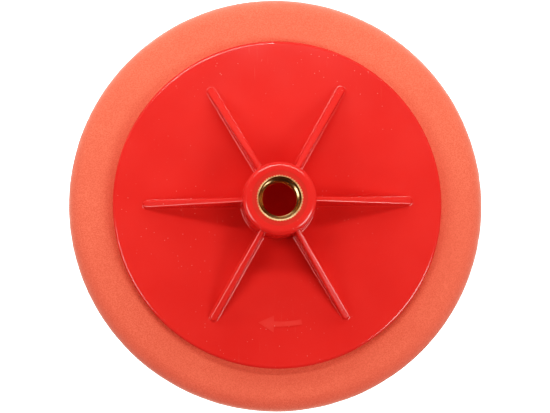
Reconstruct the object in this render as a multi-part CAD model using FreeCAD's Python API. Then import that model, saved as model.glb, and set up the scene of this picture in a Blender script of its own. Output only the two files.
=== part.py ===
import FreeCAD, Part
import math
import os

# Polishing pad: a bonded foam disc under a moulded backing plate whose hub holds a threaded insert.
# Millimetres. The spindle axis is Z, with the hub on top. The origin is the centre of the foam's
# working face, which is the face that the pad lies on.

Z_AXIS = FreeCAD.Vector(0, 0, 1)

# Foam disc
FOAM_D = 150.0
FOAM_T = 50.0
FOAM_SHOULDER_R = 6.0       # rounded rim beside the backing plate
FOAM_EDGE_R = 6.0           # rounded rim of the working face

# Adhesive film between the foam and the plate
FILM_D = 116.0
FILM_T = 0.3

# Backing plate's disc
PLATE_D = 117.5
PLATE_T = 3.0
RIM_R = 1.0                 # rounded top rim

# Hub
HUB_TOP_D = 25.3
HUB_H = 18.5                # above the plate's top face
HUB_DRAFT = 1.0             # degrees
HUB_RIM_R = 1.6             # rounded top rim
SEAT_D = 19.4               # shallow ring that the core pin leaves around the insert
SEAT_DEPTH = 0.12
POCKET_D = 14.4             # clearance for the spindle's nose below the insert
POCKET_DEPTH = 18.8         # from the hub's top to the floor of the pocket
POCKET_FLOOR_R = 0.8

# Ribs
RIB_COUNT = 6
RIB_TIP_R = 47.8            # from the axis to the rounded end
RIB_TIP_H = 0.9
RIB_ROOT_H = 13.3           # where the ridge meets the hub
RIB_BASE_W = 2.6
RIB_DRAFT = 2.0             # degrees, each side
RIB_EDGE_R = 0.55           # rounded long edges of the ridge
FOOT_R = 0.6                # fillet where the hub and the ribs stand on the plate

# Rotation arrow, raised on the plate: it points clockwise when seen from the hub's side
ARROW_R = 43.0              # from the axis to the arrow's middle line
ARROW_CENTRE_DEG = -90.0
ARROW_LENGTH = 15.5
ARROW_HEAD_LENGTH = 5.6
ARROW_HEAD_W = 6.0
ARROW_SHAFT_W = 1.8
ARROW_RELIEF = 0.25

# Threaded insert, M14 x 2, modelled at the thread's minor diameter
INSERT_TIP_D = 16.0         # over the knurl's teeth
INSERT_L = 10.0
KNURL_TEETH = 52
KNURL_DEPTH = 0.42
BORE_D = 12.0
MOUTH_D = 14.5              # entry chamfer's outer diameter, at 45 degrees
EXIT_CHAMFER = 0.8

# Levels
FILM_Z = FOAM_T
PLATE_Z = FILM_Z + FILM_T
DECK_Z = PLATE_Z + PLATE_T
HUB_TOP_Z = DECK_Z + HUB_H
SEAT_Z = HUB_TOP_Z - SEAT_DEPTH
INSERT_Z = SEAT_Z - INSERT_L


def point(x, z):
    """A point of a half section, at radius x and height z."""
    return FreeCAD.Vector(x, 0, z)


def line(a, b):
    return Part.LineSegment(a, b).toShape()


def corner_arc(centre, radius, from_deg, to_deg):
    """An arc of a half section, as an edge, through the angle halfway between its ends."""
    marks = []
    for deg in (from_deg, (from_deg + to_deg) / 2, to_deg):
        a = math.radians(deg)
        marks.append(centre + FreeCAD.Vector(radius * math.cos(a), 0, radius * math.sin(a)))
    return Part.Arc(*marks).toShape()


def turned(edges):
    """The solid that a closed half section sweeps round the spindle axis."""
    face = Part.Face(Part.Wire(edges))
    return face.revolve(FreeCAD.Vector(0, 0, 0), Z_AXIS, 360)


def turned_polygon(points):
    return turned([line(a, b) for a, b in zip(points, points[1:] + points[:1])])


def foam_pad():
    r = FOAM_D / 2
    edge_centre = point(r - FOAM_EDGE_R, FOAM_EDGE_R)
    shoulder_centre = point(r - FOAM_SHOULDER_R, FOAM_T - FOAM_SHOULDER_R)
    return turned([
        line(point(0, 0), point(r - FOAM_EDGE_R, 0)),
        corner_arc(edge_centre, FOAM_EDGE_R, -90, 0),
        line(point(r, FOAM_EDGE_R), point(r, FOAM_T - FOAM_SHOULDER_R)),
        corner_arc(shoulder_centre, FOAM_SHOULDER_R, 0, 90),
        line(point(r - FOAM_SHOULDER_R, FOAM_T), point(0, FOAM_T)),
        line(point(0, FOAM_T), point(0, 0)),
    ])


def adhesive_layer():
    return Part.makeCylinder(FILM_D / 2, FILM_T, point(0, FILM_Z))


def plate_disc():
    r = PLATE_D / 2
    return turned([
        line(point(0, PLATE_Z), point(r, PLATE_Z)),
        line(point(r, PLATE_Z), point(r, DECK_Z - RIM_R)),
        corner_arc(point(r - RIM_R, DECK_Z - RIM_R), RIM_R, 0, 90),
        line(point(r - RIM_R, DECK_Z), point(0, DECK_Z)),
        line(point(0, DECK_Z), point(0, PLATE_Z)),
    ])


def hub_blank():
    top_r = HUB_TOP_D / 2
    foot_z = DECK_Z - PLATE_T / 2
    foot_r = top_r + (HUB_TOP_Z - foot_z) * math.tan(math.radians(HUB_DRAFT))
    return turned_polygon([
        point(0, foot_z),
        point(foot_r, foot_z),
        point(top_r, HUB_TOP_Z),
        point(0, HUB_TOP_Z),
    ])


def rib(angle_deg):
    """One gusset: drafted sides, a rounded end and a ridge that falls in a straight line to it."""
    half = RIB_BASE_W / 2
    taper = math.tan(math.radians(RIB_DRAFT))
    end_x = RIB_TIP_R - half
    inner_x = INSERT_TIP_D / 2 + 1.0
    foot_z = DECK_Z - PLATE_T / 2
    peak_z = HUB_TOP_Z

    def half_width(z):
        return half - (z - DECK_Z) * taper

    section = [
        FreeCAD.Vector(inner_x, -half_width(foot_z), foot_z),
        FreeCAD.Vector(inner_x, half_width(foot_z), foot_z),
        FreeCAD.Vector(inner_x, half_width(peak_z), peak_z),
        FreeCAD.Vector(inner_x, -half_width(peak_z), peak_z),
    ]
    web = Part.Face(Part.makePolygon(section + section[:1])).extrude(
        FreeCAD.Vector(end_x - inner_x, 0, 0))
    end = Part.makeCone(
        half_width(foot_z), half_width(peak_z), peak_z - foot_z,
        FreeCAD.Vector(end_x, 0, foot_z))

    root_x = HUB_TOP_D / 2
    slope = (RIB_ROOT_H - RIB_TIP_H) / (RIB_TIP_R - root_x)
    outer_x = RIB_TIP_R + 1.0
    side = [
        FreeCAD.Vector(inner_x, -RIB_BASE_W, foot_z),
        FreeCAD.Vector(outer_x, -RIB_BASE_W, foot_z),
        FreeCAD.Vector(outer_x, -RIB_BASE_W, DECK_Z + RIB_TIP_H - slope * (outer_x - RIB_TIP_R)),
        FreeCAD.Vector(inner_x, -RIB_BASE_W, DECK_Z + RIB_ROOT_H + slope * (root_x - inner_x)),
    ]
    below_ridge = Part.Face(Part.makePolygon(side + side[:1])).extrude(
        FreeCAD.Vector(0, 2 * RIB_BASE_W, 0))
    body = web.fuse(end).common(below_ridge).removeSplitter()
    body = body.makeFillet(RIB_EDGE_R, ridge_edges(body, inner_x))
    body.rotate(FreeCAD.Vector(0, 0, 0), Z_AXIS, angle_deg)
    return body


def ridge_edges(body, inner_x):
    """The edges round the sloping top face, apart from the one inside the hub."""
    top = max(body.Faces, key=lambda f: f.normalAt(*mid_uv(f)).z if is_plane(f) else -1)
    return [e for e in top.Edges if min(v.X for v in e.Vertexes) > inner_x - 0.01
            and e.CenterOfMass.x > inner_x + 0.01]


def is_plane(face):
    return isinstance(face.Surface, Part.Plane)


def mid_uv(face):
    u0, u1, v0, v1 = face.ParameterRange
    return (u0 + u1) / 2, (v0 + v1) / 2


def foot_edges(body):
    """The inside corners where the hub and the ribs stand on the plate's top face."""
    found = []
    for edge in body.Edges:
        box = edge.BoundBox
        on_deck = abs(box.ZMin - DECK_Z) < 1e-4 and abs(box.ZMax - DECK_Z) < 1e-4
        reach = max(math.hypot(v.X, v.Y) for v in edge.Vertexes)
        if on_deck and reach < RIB_TIP_R + 1.0:
            found.append(edge)
    return found


def hub_rim_edges(body):
    found = []
    for edge in body.Edges:
        box = edge.BoundBox
        at_top = abs(box.ZMin - HUB_TOP_Z) < 1e-4 and abs(box.ZMax - HUB_TOP_Z) < 1e-4
        if at_top and abs(box.XMax - HUB_TOP_D / 2) < 0.01:
            found.append(edge)
    return found


def at_angle(radius, deg, z):
    a = math.radians(deg)
    return FreeCAD.Vector(radius * math.cos(a), radius * math.sin(a), z)


def arrow():
    """The raised arrow: a shaft that follows the plate's rim, and a pointed head at its left end."""
    degrees_per_mm = math.degrees(1 / ARROW_R)
    tail = ARROW_CENTRE_DEG + ARROW_LENGTH / 2 * degrees_per_mm
    tip = ARROW_CENTRE_DEG - ARROW_LENGTH / 2 * degrees_per_mm
    neck = tip + ARROW_HEAD_LENGTH * degrees_per_mm
    z = DECK_Z - PLATE_T / 2
    outer = ARROW_R + ARROW_SHAFT_W / 2
    inner = ARROW_R - ARROW_SHAFT_W / 2
    middle = (tail + neck) / 2
    barb_out = at_angle(ARROW_R + ARROW_HEAD_W / 2, neck, z)
    barb_in = at_angle(ARROW_R - ARROW_HEAD_W / 2, neck, z)
    point_of_head = at_angle(ARROW_R, tip, z)
    edges = [
        Part.Arc(at_angle(outer, tail, z), at_angle(outer, middle, z), at_angle(outer, neck, z)).toShape(),
        line(at_angle(outer, neck, z), barb_out),
        line(barb_out, point_of_head),
        line(point_of_head, barb_in),
        line(barb_in, at_angle(inner, neck, z)),
        Part.Arc(at_angle(inner, neck, z), at_angle(inner, middle, z), at_angle(inner, tail, z)).toShape(),
        line(at_angle(inner, tail, z), at_angle(outer, tail, z)),
    ]
    return Part.Face(Part.Wire(edges)).extrude(FreeCAD.Vector(0, 0, PLATE_T / 2 + ARROW_RELIEF))


def insert_blank():
    """The insert before boring: a cylinder with a straight knurl of pointed teeth."""
    tip_r = INSERT_TIP_D / 2
    points = []
    for tooth in range(KNURL_TEETH):
        for step, radius in ((0.0, tip_r), (0.5, tip_r - KNURL_DEPTH)):
            points.append(at_angle(radius, (tooth + step) * 360 / KNURL_TEETH, INSERT_Z))
    profile = Part.Face(Part.makePolygon(points + points[:1]))
    return profile.extrude(FreeCAD.Vector(0, 0, INSERT_L))


def insert_bore():
    r = BORE_D / 2
    mouth_r = MOUTH_D / 2
    top = INSERT_Z + INSERT_L
    return turned_polygon([
        point(0, INSERT_Z),
        point(r + EXIT_CHAMFER, INSERT_Z),
        point(r, INSERT_Z + EXIT_CHAMFER),
        point(r, top - (mouth_r - r)),
        point(mouth_r, top),
        point(0, top),
    ])


def threaded_insert():
    return insert_blank().cut(insert_bore())


def hub_pocket():
    """The blind pocket that the spindle's nose enters, below the insert, with a rounded floor."""
    r = POCKET_D / 2
    floor_z = HUB_TOP_Z - POCKET_DEPTH
    return turned([
        line(point(0, floor_z), point(r - POCKET_FLOOR_R, floor_z)),
        corner_arc(point(r - POCKET_FLOOR_R, floor_z + POCKET_FLOOR_R), POCKET_FLOOR_R, -90, 0),
        line(point(r, floor_z + POCKET_FLOOR_R), point(r, INSERT_Z + 1.0)),
        line(point(r, INSERT_Z + 1.0), point(0, INSERT_Z + 1.0)),
        line(point(0, INSERT_Z + 1.0), point(0, floor_z)),
    ])


def backing_plate():
    body = plate_disc().fuse(hub_blank())
    for index in range(RIB_COUNT):
        body = body.fuse(rib(index * 360 / RIB_COUNT))
    body = body.removeSplitter()
    body = body.makeFillet(FOOT_R, foot_edges(body))
    body = body.makeFillet(HUB_RIM_R, hub_rim_edges(body))
    seat = Part.makeCylinder(SEAT_D / 2, SEAT_DEPTH + 1.0, point(0, SEAT_Z))
    body = body.cut(seat).cut(insert_blank()).cut(hub_pocket())
    return body.fuse(arrow()).removeSplitter()


def single_solid(shape):
    """The one solid of a shape that a boolean left wrapped in a compound."""
    if len(shape.Solids) != 1 or not shape.isValid():
        raise ValueError("expected one valid solid")
    return shape.Solids[0]


os.makedirs("parts", exist_ok=True)
PIECES = {
    "foam_pad": foam_pad,
    "adhesive_layer": adhesive_layer,
    "backing_plate": backing_plate,
    "threaded_insert": threaded_insert,
}
for name, make in PIECES.items():
    solid = single_solid(make())
    solid.exportStep("parts/" + name + ".step")
    print(name, "volume", round(solid.Volume / 1000, 3), "cm3", "faces", len(solid.Faces))
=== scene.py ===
import bmesh
import bpy
import math
import numpy as np
from mathutils import Matrix, Vector


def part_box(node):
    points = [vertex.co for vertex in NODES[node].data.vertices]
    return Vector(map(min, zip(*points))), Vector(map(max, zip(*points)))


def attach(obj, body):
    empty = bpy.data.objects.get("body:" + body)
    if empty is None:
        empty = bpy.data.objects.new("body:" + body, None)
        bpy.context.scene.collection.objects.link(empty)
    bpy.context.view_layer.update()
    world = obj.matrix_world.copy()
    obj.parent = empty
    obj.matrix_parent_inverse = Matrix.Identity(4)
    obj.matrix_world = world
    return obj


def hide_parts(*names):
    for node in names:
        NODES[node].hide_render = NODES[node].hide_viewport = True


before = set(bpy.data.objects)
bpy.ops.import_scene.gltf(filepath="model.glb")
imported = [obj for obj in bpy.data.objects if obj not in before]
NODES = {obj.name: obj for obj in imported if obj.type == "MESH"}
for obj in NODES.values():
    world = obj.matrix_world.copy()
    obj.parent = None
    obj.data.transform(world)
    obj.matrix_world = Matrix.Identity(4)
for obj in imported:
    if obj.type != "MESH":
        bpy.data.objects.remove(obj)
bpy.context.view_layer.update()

MM = 0.001

# Camera: above the hub, leaning a little to the left and towards the near side
CAMERA_DISTANCE = 0.500
LEAN_LEFT_DEG = 2.15
LEAN_NEAR_DEG = 5.3
ROLL_DEG = -0.93
AIM = Vector((-0.75 * MM, -0.45 * MM, 45 * MM))
LENS_MM = 90.3
SENSOR_MM = 36

# Light
LIGHT_TARGET = Vector((0, 0, 50 * MM))
WORLD_COLOUR = (1, 0.42, 0.2, 1)
WORLD_STRENGTH = 0.015
SHOULDER = 0.35               # the smaller, the more the tone curve lifts the middle levels
TONE_LEVELS = (0.03, 0.08, 0.16, 0.28, 0.44, 0.66)   # where the tone curve gets a point

# Floor
FLOOR_HALF = 30.0             # its edge stays out of sight, even in low views
FLOOR_GLOW = 0.95             # makes the floor render white
FILL_GLOW = 0.35              # lights the foam's side
FILL_Z = -1 * MM

# Foam mesh
FOAM_SIDES = 480
FOAM_STEP = 0.9 * MM          # between rings where the foam is in sight
FOAM_BOTTOM_STEP = 1.8 * MM
FOAM_HIDDEN_STEP = 6.0 * MM   # under the plate
FOAM_TUCK = 2 * MM            # how far the fine rings run in under the plate
FOAM_ROUND = 6.0 * MM         # both rims of the foam
FOAM_WAVE = 0.035 * MM        # slow unevenness of the cut faces
WAVE_COUNT = 14
WAVE_LENGTHS_MM = (3, 16)
WAVE_SUM = 4                  # about how high so many waves add up
FOAM_GRAIN = 0.008 * MM       # broken cells at the surface
FOAM_SEED = 11
FACE_SLACK = 0.1 * MM         # points this near to a flat face belong to it
BOND_MARGIN = 1 * MM          # the top stays flat this far out past the plate's edge
FOAM_SHIFT = (-0.25 * MM, 0.7 * MM, 0)   # the foam is glued on a little off centre

# Insert mesh: M14 x 2 thread and a straight knurl
THREAD_PITCH = 2.0 * MM
THREAD_MINOR_R = 6.0 * MM
THREAD_DEPTH = 1.0 * MM
# Share of the pitch, then share of the depth: a flat crest, a flank, a flat root and a flank
THREAD_OUTLINE = ((0.00, 0.05), (0.04, 0.0), (0.21, 0.0), (0.25, 0.05),
                  (0.55, 0.95), (0.59, 1.0), (0.66, 1.0), (0.70, 0.95), (1.00, 0.05))
THREAD_ROWS = 24              # rows of the mesh over one pitch
MOUTH_R = 7.45 * MM
MOUTH_LIP = 0.05 * MM         # broken edge between the flat end and the mouth
EXIT_R = 7.05 * MM
KNURL_TEETH = 52
KNURL_DEPTH = 0.60 * MM
KNURL_FLANK = 1.5             # how steep the teeth's flanks are, 1 for plain pointed teeth
KNURL_LAND = 0.25             # how blunt the tips and the valleys are, 0 for pointed tips
KNURL_BEVEL = 0.05 * MM
KNURL_PROUD = 0.12 * MM       # the tips, pressed into the plastic
KNURL_LIFT = 0.10 * MM        # the teeth's ends stand just clear of the plastic around them
SIDES_PER_TOOTH = 6
INSERT_SHARP_DEG = 42         # edges over this angle stay sharp
MERGE_DIST = 1e-7

# Where the plate's material changes
SEAT_R = 9.7 * MM             # ring that the mould's core pin left on the hub
POCKET_R = 7.25 * MM          # blind pocket under the insert
PAINTED_POCKET_GLOW = 0.02            # painted red glow in the pocket, in place of the light that comes through the hub's wall
MARK_Z = 53.55 * MM           # raised face of the rotation arrow
MARK_Y = -37 * MM             # the whole arrow lies on the near side of this


# ---------------------------------------------------------------- meshes

def new_piece(name, verts, faces, material):
    mesh = bpy.data.meshes.new(name)
    mesh.from_pydata(verts.tolist(), [], faces)
    mesh.validate()
    piece = bpy.data.objects.new(name, mesh)
    bpy.context.scene.collection.objects.link(piece)
    mesh.materials.append(material)
    return piece


def smooth(piece, sharp_deg):
    """Smooth shading, with the edges over that angle left sharp."""
    piece.data.polygons.foreach_set("use_smooth", [True] * len(piece.data.polygons))
    piece.data.set_sharp_from_angle(angle=math.radians(sharp_deg))


def ring_faces(rings, sides):
    """Quads between neighbouring rings of a lathe, each ring with the same number of points."""
    faces = []
    for ring in range(rings - 1):
        low, high = ring * sides, (ring + 1) * sides
        for k in range(sides):
            n = (k + 1) % sides
            faces.append((low + k, low + n, high + n, high + k))
    return faces


def spaced(start, end, step):
    """Numbers from start to end, evenly spaced at about that step, without the last one."""
    count = max(1, round(abs(end - start) / step))
    return [start + (end - start) * i / count for i in range(count)]


def foam_profile():
    """(radius, height) of each ring, from the middle of the bottom to the middle of the top."""
    low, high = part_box("foam_pad")
    plate_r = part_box("backing_plate")[1].x
    r, top, bend = high.x, high.z, FOAM_ROUND
    quarter = math.pi / 2
    rows = [(x, low.z) for x in spaced(FOAM_BOTTOM_STEP, r - bend, FOAM_BOTTOM_STEP)]
    for a in spaced(0, quarter, FOAM_STEP / bend):
        rows.append((r - bend + bend * math.sin(a), low.z + bend - bend * math.cos(a)))
    rows += [(r, z) for z in spaced(low.z + bend, top - bend, FOAM_STEP)]
    for a in spaced(0, quarter, FOAM_STEP / bend):
        rows.append((r - bend + bend * math.cos(a), top - bend + bend * math.sin(a)))
    tucked = plate_r - FOAM_TUCK
    rows += [(x, top) for x in spaced(r - bend, tucked, FOAM_STEP)]
    rows += [(x, top) for x in spaced(tucked, FOAM_HIDDEN_STEP, FOAM_HIDDEN_STEP)]
    return rows


def lathe(rows, sides):
    """The points of each (radius, height) row, spun round the spindle axis."""
    angles = np.arange(sides) * 2 * math.pi / sides
    points = np.zeros((len(rows), sides, 3))
    for i, (radius, height) in enumerate(rows):
        points[i, :, 0] = radius * np.cos(angles)
        points[i, :, 1] = radius * np.sin(angles)
        points[i, :, 2] = height
    return points.reshape(-1, 3)


def waves(points, normals, rng):
    """Slow, low unevenness: a sum of a few sine waves with random directions."""
    total = np.zeros(len(points))
    for _ in range(WAVE_COUNT):
        length = rng.uniform(*WAVE_LENGTHS_MM) * MM
        direction = rng.normal(size=3)
        direction /= np.linalg.norm(direction)
        total += np.sin(points @ direction * 2 * math.pi / length + rng.uniform(0, 6.28))
    return normals * (total / WAVE_SUM)[:, None]


def make_foam(material):
    """A fine lathed disc. Its bonded top stays flat, and its bottom stays on or above the floor."""
    rows = foam_profile()
    points = lathe(rows, FOAM_SIDES)
    faces = ring_faces(len(rows), FOAM_SIDES)
    low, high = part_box("foam_pad")
    last = (len(rows) - 1) * FOAM_SIDES
    points = np.vstack([points, [[0, 0, low.z], [0, 0, high.z]]])
    bottom_centre, top_centre = len(points) - 2, len(points) - 1
    for k in range(FOAM_SIDES):
        n = (k + 1) % FOAM_SIDES
        faces.append((bottom_centre, n, k))
        faces.append((top_centre, last + k, last + n))
    foam = new_piece("foam_disc", points, faces, material)
    normals = np.zeros(len(points) * 3)
    foam.data.vertices.foreach_get("normal", normals)
    normals = normals.reshape(-1, 3)
    rng = np.random.default_rng(FOAM_SEED)
    radius = np.hypot(points[:, 0], points[:, 1])
    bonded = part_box("backing_plate")[1].x
    under_plate = (points[:, 2] > high.z - FACE_SLACK) & (radius < bonded + BOND_MARGIN)
    loose = np.where(under_plate, 0.0, 1.0)
    resting = points[:, 2] < low.z + FACE_SLACK
    moved = FOAM_WAVE * waves(points, normals, rng)
    moved += FOAM_GRAIN * rng.normal(size=len(points))[:, None] * normals
    moved[resting, 2] = np.abs(moved[resting, 2]) * 0.5
    points = points + moved * loose[:, None] + np.array(FOAM_SHIFT)
    foam.data.vertices.foreach_set("co", points.ravel())
    foam.data.update()
    smooth(foam, 180)
    return foam


def knurl_radius(tip_r):
    """The outside of the insert: straight teeth, as wide as the valleys between them."""
    step = np.arange(KNURL_TEETH * SIDES_PER_TOOTH) % SIDES_PER_TOOTH / SIDES_PER_TOOTH
    from_tip = 1 - np.abs(step - 0.5) * 2
    return tip_r - KNURL_DEPTH * np.clip(KNURL_FLANK * from_tip - KNURL_LAND, 0, 1)


def thread_rows(top, bottom, turn):
    """Rows of the bore's wall from the mouth down. Each row follows the thread's helix, and stops
    at both ends of the insert, where it takes the radius of the mouth or of the way out."""
    marks, depths = zip(*THREAD_OUTLINE)
    rows = []
    for row in range(thread_row_count(top - bottom)):
        phase = row / THREAD_ROWS
        z = np.clip(top - (phase - turn) * THREAD_PITCH, bottom, top)
        wall = THREAD_MINOR_R + THREAD_DEPTH * np.interp(phase % 1.0, marks, depths)
        radius = np.maximum(wall, np.maximum(MOUTH_R - (top - z), EXIT_R - (z - bottom)))
        rows.append((radius, z))
    return rows


def thread_row_count(length):
    """Enough whole turns to reach the bottom from any side, and one row to close them."""
    return (math.ceil(length / THREAD_PITCH - 0.01) + 1) * THREAD_ROWS + 1


def make_insert(material):
    """The brass insert: a knurled shell with straight rings, joined to a bore with a helical thread."""
    low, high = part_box("threaded_insert")
    top = high.z + KNURL_LIFT
    sides = KNURL_TEETH * SIDES_PER_TOOTH
    turn = np.arange(sides) / sides
    outside = knurl_radius(high.x + KNURL_PROUD)
    shell = [
        (outside - KNURL_BEVEL, low.z),
        (outside, low.z + KNURL_BEVEL),
        (outside, top - KNURL_BEVEL),
        (outside - KNURL_BEVEL, top),
        (MOUTH_R + MOUTH_LIP, top),
    ]
    bore = thread_rows(top - MOUTH_LIP / 2, low.z, turn)
    rows = shell + bore
    points = np.zeros((len(rows), sides, 3))
    for i, (radius, height) in enumerate(rows):
        points[i, :, 0] = radius * np.cos(turn * 2 * math.pi)
        points[i, :, 1] = radius * np.sin(turn * 2 * math.pi)
        points[i, :, 2] = height
    faces = ring_faces(len(shell) + 1, sides)
    first, last = len(shell), len(rows) - 1
    for row in range(first, last):
        for k in range(sides - 1):
            a, b = row * sides + k, (row + 1) * sides + k
            faces.append((a, a + 1, b + 1, b))
        # one turn on, the helix has climbed by one pitch
        upper = max(row - THREAD_ROWS, first) * sides
        lower = max(row + 1 - THREAD_ROWS, first) * sides
        end, next_end = row * sides + sides - 1, (row + 1) * sides + sides - 1
        faces.append((end, upper, next_end) if upper == lower else (end, upper, lower, next_end))
    for k in range(sides):
        n = (k + 1) % sides
        faces.append((last * sides + k, last * sides + n, n, k))
    insert = new_piece("brass_insert", points.reshape(-1, 3), faces, material)
    merge_doubles(insert)
    smooth(insert, INSERT_SHARP_DEG)
    return insert


def merge_doubles(piece):
    """Joins the points that rows share where they stop, and drops the faces left without area."""
    mesh = bmesh.new()
    mesh.from_mesh(piece.data)
    bmesh.ops.remove_doubles(mesh, verts=mesh.verts, dist=MERGE_DIST)
    bmesh.ops.dissolve_degenerate(mesh, edges=mesh.edges, dist=MERGE_DIST)
    mesh.to_mesh(piece.data)
    mesh.free()


# ---------------------------------------------------------------- materials

class Nodes:
    """Short calls for building one material's node tree."""

    def __init__(self, name):
        self.material = bpy.data.materials.new(name)
        self.material.use_nodes = True
        self.tree = self.material.node_tree
        self.shader = self.tree.nodes["Principled BSDF"]
        self.place = self.add("ShaderNodeTexCoord").outputs["Object"]

    def add(self, kind, **settings):
        node = self.tree.nodes.new(kind)
        for key, value in settings.items():
            setattr(node, key, value)
        return node

    def link(self, source, target):
        self.tree.links.new(source, target)

    def set(self, **values):
        for key, value in values.items():
            self.shader.inputs[key.replace("_", " ")].default_value = value

    def stretched(self, scale, turn=(0, 0, 0)):
        mapping = self.add("ShaderNodeMapping")
        mapping.inputs["Scale"].default_value = scale
        mapping.inputs["Rotation"].default_value = turn
        self.link(self.place, mapping.inputs["Vector"])
        return mapping.outputs["Vector"]

    def from_axis(self):
        """Distance from the spindle axis."""
        node = self.add("ShaderNodeVectorMath", operation="LENGTH")
        self.link(self.stretched((1, 1, 0)), node.inputs[0])
        return node.outputs["Value"]

    def raised_mark(self):
        """1 on the raised face of the rotation arrow, 0 elsewhere."""
        parts = self.add("ShaderNodeSeparateXYZ")
        self.link(self.place, parts.inputs["Vector"])
        near = self.remap(parts.outputs["Y"], MARK_Y - 1 * MM, MARK_Y, 1, 0)
        face = self.remap(parts.outputs["Z"], MARK_Z - 0.1 * MM, MARK_Z - 0.02 * MM)
        level = self.remap(parts.outputs["Z"], MARK_Z + 0.02 * MM, MARK_Z + 0.05 * MM, 1, 0)
        return self.math("MULTIPLY", near, self.math("MULTIPLY", face, level))

    def noise(self, scale, detail=2.0, rough=0.5, place=None):
        node = self.add("ShaderNodeTexNoise")
        node.inputs["Scale"].default_value = scale
        node.inputs["Detail"].default_value = detail
        node.inputs["Roughness"].default_value = rough
        self.link(place or self.place, node.inputs["Vector"])
        return node.outputs["Fac"]

    def cells(self, scale):
        node = self.add("ShaderNodeTexVoronoi")
        node.inputs["Scale"].default_value = scale
        self.link(self.place, node.inputs["Vector"])
        return node

    def specks(self, scale, rarity, radius):
        """Small round spots in that many cells to the metre, in the share of the cells above rarity."""
        cell = self.cells(scale)
        chance = self.add("ShaderNodeSeparateColor")
        self.link(cell.outputs["Color"], chance.inputs["Color"])
        spot = self.remap(cell.outputs["Distance"], radius / 2, radius, 1, 0)
        return self.math("MULTIPLY", spot, self.math("GREATER_THAN", chance.outputs["Red"], rarity))

    def remap(self, value, low, high, to_low=0.0, to_high=1.0):
        node = self.add("ShaderNodeMapRange")
        for key, number in (("From Min", low), ("From Max", high), ("To Min", to_low), ("To Max", to_high)):
            node.inputs[key].default_value = number
        self.link(value, node.inputs["Value"])
        return node.outputs["Result"]

    def math(self, operation, a, b):
        node = self.add("ShaderNodeMath", operation=operation)
        for socket, value in zip(node.inputs, (a, b)):
            if isinstance(value, (int, float)):
                socket.default_value = value
            else:
                self.link(value, socket)
        return node.outputs[0]

    def mix(self, fac, a, b):
        node = self.add("ShaderNodeMix", data_type="RGBA")
        self.link(fac, node.inputs["Factor"])
        for socket, value in ((node.inputs[6], a), (node.inputs[7], b)):
            if isinstance(value, tuple):
                socket.default_value = (*value, 1.0)
            else:
                self.link(value, socket)
        return node.outputs[2]

    def bump(self, height, distance, before=None):
        node = self.add("ShaderNodeBump")
        node.inputs["Distance"].default_value = distance
        self.link(height, node.inputs["Height"])
        if before is not None:
            self.link(before, node.inputs["Normal"])
        return node.outputs["Normal"]


def red_plastic():
    """Semi-gloss red moulding with faint flow marks, fine scratches and pale specks of dust, and a painted
    red glow inside the hub's blind pocket.
    """
    m = Nodes("red_plastic")
    radius = m.from_axis()
    flow = m.noise(38, 3, 0.55)
    base = m.mix(m.remap(flow, 0.35, 0.65), (0.61, 0.0220, 0.0180), (0.65, 0.0260, 0.0210))
    base = m.mix(m.remap(radius, SEAT_R - 0.2 * MM, SEAT_R, 1, 0), base, (0.50, 0.0280, 0.0200))
    base = m.mix(m.raised_mark(), base, (0.68, 0.0400, 0.0320))
    dusty = m.remap(m.noise(26, 2), 0.38, 0.56)
    specks = m.math("MULTIPLY", m.specks(620, 0.55, 0.13), dusty)
    base = m.mix(m.math("MULTIPLY", specks, 0.6), base, (0.80, 0.20, 0.16))
    streaks = m.noise(1.0, 2, 0.6, m.stretched((1400, 55, 300), (0, 0, 0.5)))
    patch = m.remap(m.noise(30, 2), 0.52, 0.62)
    scratches = m.math("MULTIPLY", m.remap(streaks, 0.66, 0.72), patch)
    base = m.mix(m.math("MULTIPLY", scratches, 0.25), base, (0.75, 0.15, 0.11))
    m.link(base, m.shader.inputs["Base Color"])
    rough = m.remap(m.noise(70, 4, 0.6), 0.3, 0.7, 0.13, 0.18)
    m.link(m.math("ADD", rough, m.math("MULTIPLY", specks, 0.3)), m.shader.inputs["Roughness"])
    skin = m.bump(m.noise(900, 3, 0.6), 0.003 * MM)
    skin = m.bump(m.noise(60, 2), 0.03 * MM, before=skin)
    m.link(skin, m.shader.inputs["Normal"])
    # painted glow: the plastic within the pocket's radius emits a faint red, in place of light coming
    # through the hub's wall
    pocket = m.remap(radius, POCKET_R, POCKET_R + 0.1 * MM, PAINTED_POCKET_GLOW, 0)
    m.link(pocket, m.shader.inputs["Emission Strength"])
    m.set(Emission_Color=(1.0, 0.0, 0.0, 1.0))
    m.set(Specular_IOR_Level=0.5, Subsurface_Weight=0.12, Subsurface_Scale=3 * MM)
    m.set(Subsurface_Radius=(1.0, 0.06, 0.04))
    return m.material


def coral_foam():
    """Open-cell foam: fine cells with painted shade in their pores and painted highlights on their tips,
    and a pale fuzz where it turns away.
    """
    m = Nodes("coral_foam")
    cells = m.cells(2200)
    pores = m.remap(cells.outputs["Distance"], 0.12, 0.75)
    grain = m.noise(3000, 2, 0.6)
    mottle = m.noise(45, 3, 0.55)
    body = m.mix(m.remap(mottle, 0.35, 0.65), (0.73, 0.104, 0.061), (0.78, 0.116, 0.068))
    # painted shade: the colour is darker in the pores, where the bump sinks
    painted_pore_shade = m.mix(pores, (0.60, 0.076, 0.042), body)
    # painted highlight: the colour is lighter where the grain raises the cell tips
    tips = m.mix(m.remap(grain, 0.45, 0.75, 0, 0.5), painted_pore_shade, (0.85, 0.150, 0.092))
    m.link(tips, m.shader.inputs["Base Color"])
    height = m.math("ADD", m.math("MULTIPLY", pores, 0.6), grain)
    m.link(m.bump(height, 0.07 * MM), m.shader.inputs["Normal"])
    m.set(Roughness=0.95, Specular_IOR_Level=0.15, Sheen_Weight=1.0, Sheen_Roughness=0.4)
    m.set(Sheen_Tint=(1.0, 0.72, 0.60, 1.0))
    return m.material


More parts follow.
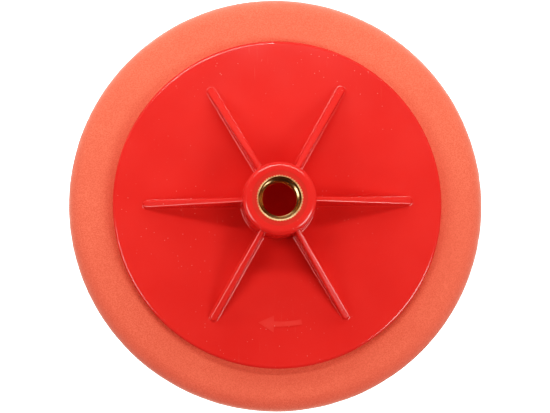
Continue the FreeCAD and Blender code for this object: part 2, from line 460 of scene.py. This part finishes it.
def turned_brass():
    """Turned brass with slight tarnish. The end face is rougher than the bore, and the bore's colour is
    darkened as painted shade.
    """
    m = Nodes("turned_brass")
    tarnish = m.remap(m.noise(320, 3, 0.6), 0.35, 0.7)
    metal = m.mix(tarnish, (0.86, 0.56, 0.28), (0.76, 0.47, 0.22))
    # painted shade: the colour darkens into the mouth and the bore
    depth = m.remap(m.from_axis(), 6.9 * MM, MOUTH_R, 1, 0)
    m.link(m.mix(depth, metal, (0.70, 0.44, 0.21)), m.shader.inputs["Base Color"])
    end_face = m.remap(m.from_axis(), MOUTH_R, MOUTH_R + MOUTH_LIP, 0.20, 0.42)
    grain = m.remap(m.noise(700, 2), 0.3, 0.7, -0.03, 0.03)
    m.link(m.math("ADD", end_face, grain), m.shader.inputs["Roughness"])
    m.set(Metallic=1.0)
    return m.material


def cured_glue():
    """Amber film of dried contact adhesive."""
    m = Nodes("cured_glue")
    m.link(m.mix(m.noise(240, 3), (0.55, 0.36, 0.20), (0.72, 0.52, 0.34)), m.shader.inputs["Base Color"])
    m.link(m.bump(m.noise(600, 3), 0.05 * MM), m.shader.inputs["Normal"])
    m.set(Roughness=0.45)
    return m.material


def pale_floor(name, glow):
    """Matt, almost white, and glowing softly."""
    m = Nodes(name)
    paper = m.mix(m.noise(3, 2), (0.90, 0.90, 0.90), (0.92, 0.92, 0.92))
    m.link(paper, m.shader.inputs["Base Color"])
    m.set(Roughness=0.9, Specular_IOR_Level=0.1)
    m.set(Emission_Color=(1, 1, 1, 1), Emission_Strength=glow)
    return m.material


# ---------------------------------------------------------------- the object

def dress(node, material):
    NODES[node].data.materials.clear()
    NODES[node].data.materials.append(material)


dress("backing_plate", red_plastic())
dress("adhesive_layer", cured_glue())

foam = make_foam(coral_foam())
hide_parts("foam_pad")
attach(foam, "root")

insert = make_insert(turned_brass())
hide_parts("threaded_insert")
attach(insert, "root")


# ---------------------------------------------------------------- the scene

def floor_sheet(name, z, glow):
    half = FLOOR_HALF
    corners = np.array([(-half, -half, z), (half, -half, z), (half, half, z), (-half, half, z)])
    sheet = new_piece(name, corners, [(0, 1, 2, 3)], pale_floor(name, glow))
    sheet.visible_glossy = False
    return sheet


def make_floor():
    """The floor that is seen is white but lights nothing, because its glow would wash the foam out.
    A dimmer one just below it, out of the camera's sight, lights the foam's side instead."""
    floor_sheet("floor", 0, FLOOR_GLOW).visible_diffuse = False
    floor_sheet("floor_glow", FILL_Z, FILL_GLOW).visible_camera = False


def make_camera():
    """The photo's view, from almost straight above."""
    data = bpy.data.cameras.new("camera")
    data.lens = LENS_MM
    data.sensor_width = SENSOR_MM
    data.clip_start = 0.01
    camera = bpy.data.objects.new("camera", data)
    bpy.context.scene.collection.objects.link(camera)
    x = -math.sin(math.radians(LEAN_LEFT_DEG))
    y = -math.sin(math.radians(LEAN_NEAR_DEG))
    back = Vector((x, y, math.sqrt(1 - x * x - y * y)))
    right = Vector((0, 1, 0)).cross(back).normalized()
    up = back.cross(right)
    turn = math.radians(ROLL_DEG)
    right, up = (right * math.cos(turn) + up * math.sin(turn),
                 up * math.cos(turn) - right * math.sin(turn))
    pose = Matrix((right, up, back)).transposed().to_4x4()
    camera.matrix_world = Matrix.Translation(AIM + back * CAMERA_DISTANCE) @ pose
    bpy.context.scene.camera = camera


def softbox(name, azimuth_deg, elevation_deg, distance, size, watts):
    """A rectangular light that faces the hub from that direction. Azimuth 0 is +X, and 90 is +Y."""
    data = bpy.data.lights.new(name, "AREA")
    data.shape = "RECTANGLE"
    data.size, data.size_y = size
    data.energy = watts
    azimuth, elevation = math.radians(azimuth_deg), math.radians(elevation_deg)
    away = Vector((math.cos(azimuth) * math.cos(elevation), math.sin(azimuth) * math.cos(elevation),
                   math.sin(elevation)))
    light = bpy.data.objects.new(name, data)
    light.location = LIGHT_TARGET + away * distance
    light.rotation_euler = away.to_track_quat("Z", "Y").to_euler()
    light.visible_camera = False
    bpy.context.scene.collection.objects.link(light)
    return light


def make_light():
    """Soft boxes round the pad. The two windows would lie as a haze on the hub's rim, so they don't
    show in reflections. The last one lights only the brass, to make its end face bright."""
    softbox("window_left", 135, 22, 0.35, (0.24, 0.10), 0.21).visible_glossy = False
    softbox("window_right", 60, 22, 0.35, (0.24, 0.10), 0.22).visible_glossy = False
    softbox("back", 88, 58, 0.30, (0.26, 0.03), 0.16)
    softbox("right", -31, 41, 0.70, (0.30, 0.30), 1.00)
    softbox("left", 199, 41, 0.70, (0.30, 0.30), 0.66)
    brass_light = softbox("sheet", 90, 12, 0.40, (0.60, 0.24), 0.24)
    brass_only = bpy.data.collections.new("brass_only")
    brass_only.objects.link(insert)
    brass_light.light_linking.receiver_collection = brass_only


def make_world():
    """A faint warm fill."""
    world = bpy.data.worlds.new("studio")
    world.use_nodes = True
    background = world.node_tree.nodes["Background"]
    background.inputs["Color"].default_value = WORLD_COLOUR
    background.inputs["Strength"].default_value = WORLD_STRENGTH
    bpy.context.scene.world = world


def tone(level):
    return level * (1 + SHOULDER) / (level + SHOULDER)


def make_tone():
    """A camera's response: a long shoulder that holds the bright reds, and deep shadows."""
    view = bpy.context.scene.view_settings
    view.view_transform = "Standard"
    view.look = "High Contrast"
    view.use_curve_mapping = True
    curve = view.curve_mapping.curves[3]   # the one for all channels together
    for point, level in zip(curve.points, (0.0, 1.0)):
        point.location = (level, tone(level))
    for level in TONE_LEVELS:
        curve.points.new(level, tone(level))
    view.curve_mapping.update()


make_floor()
make_camera()
make_light()
make_world()
make_tone()
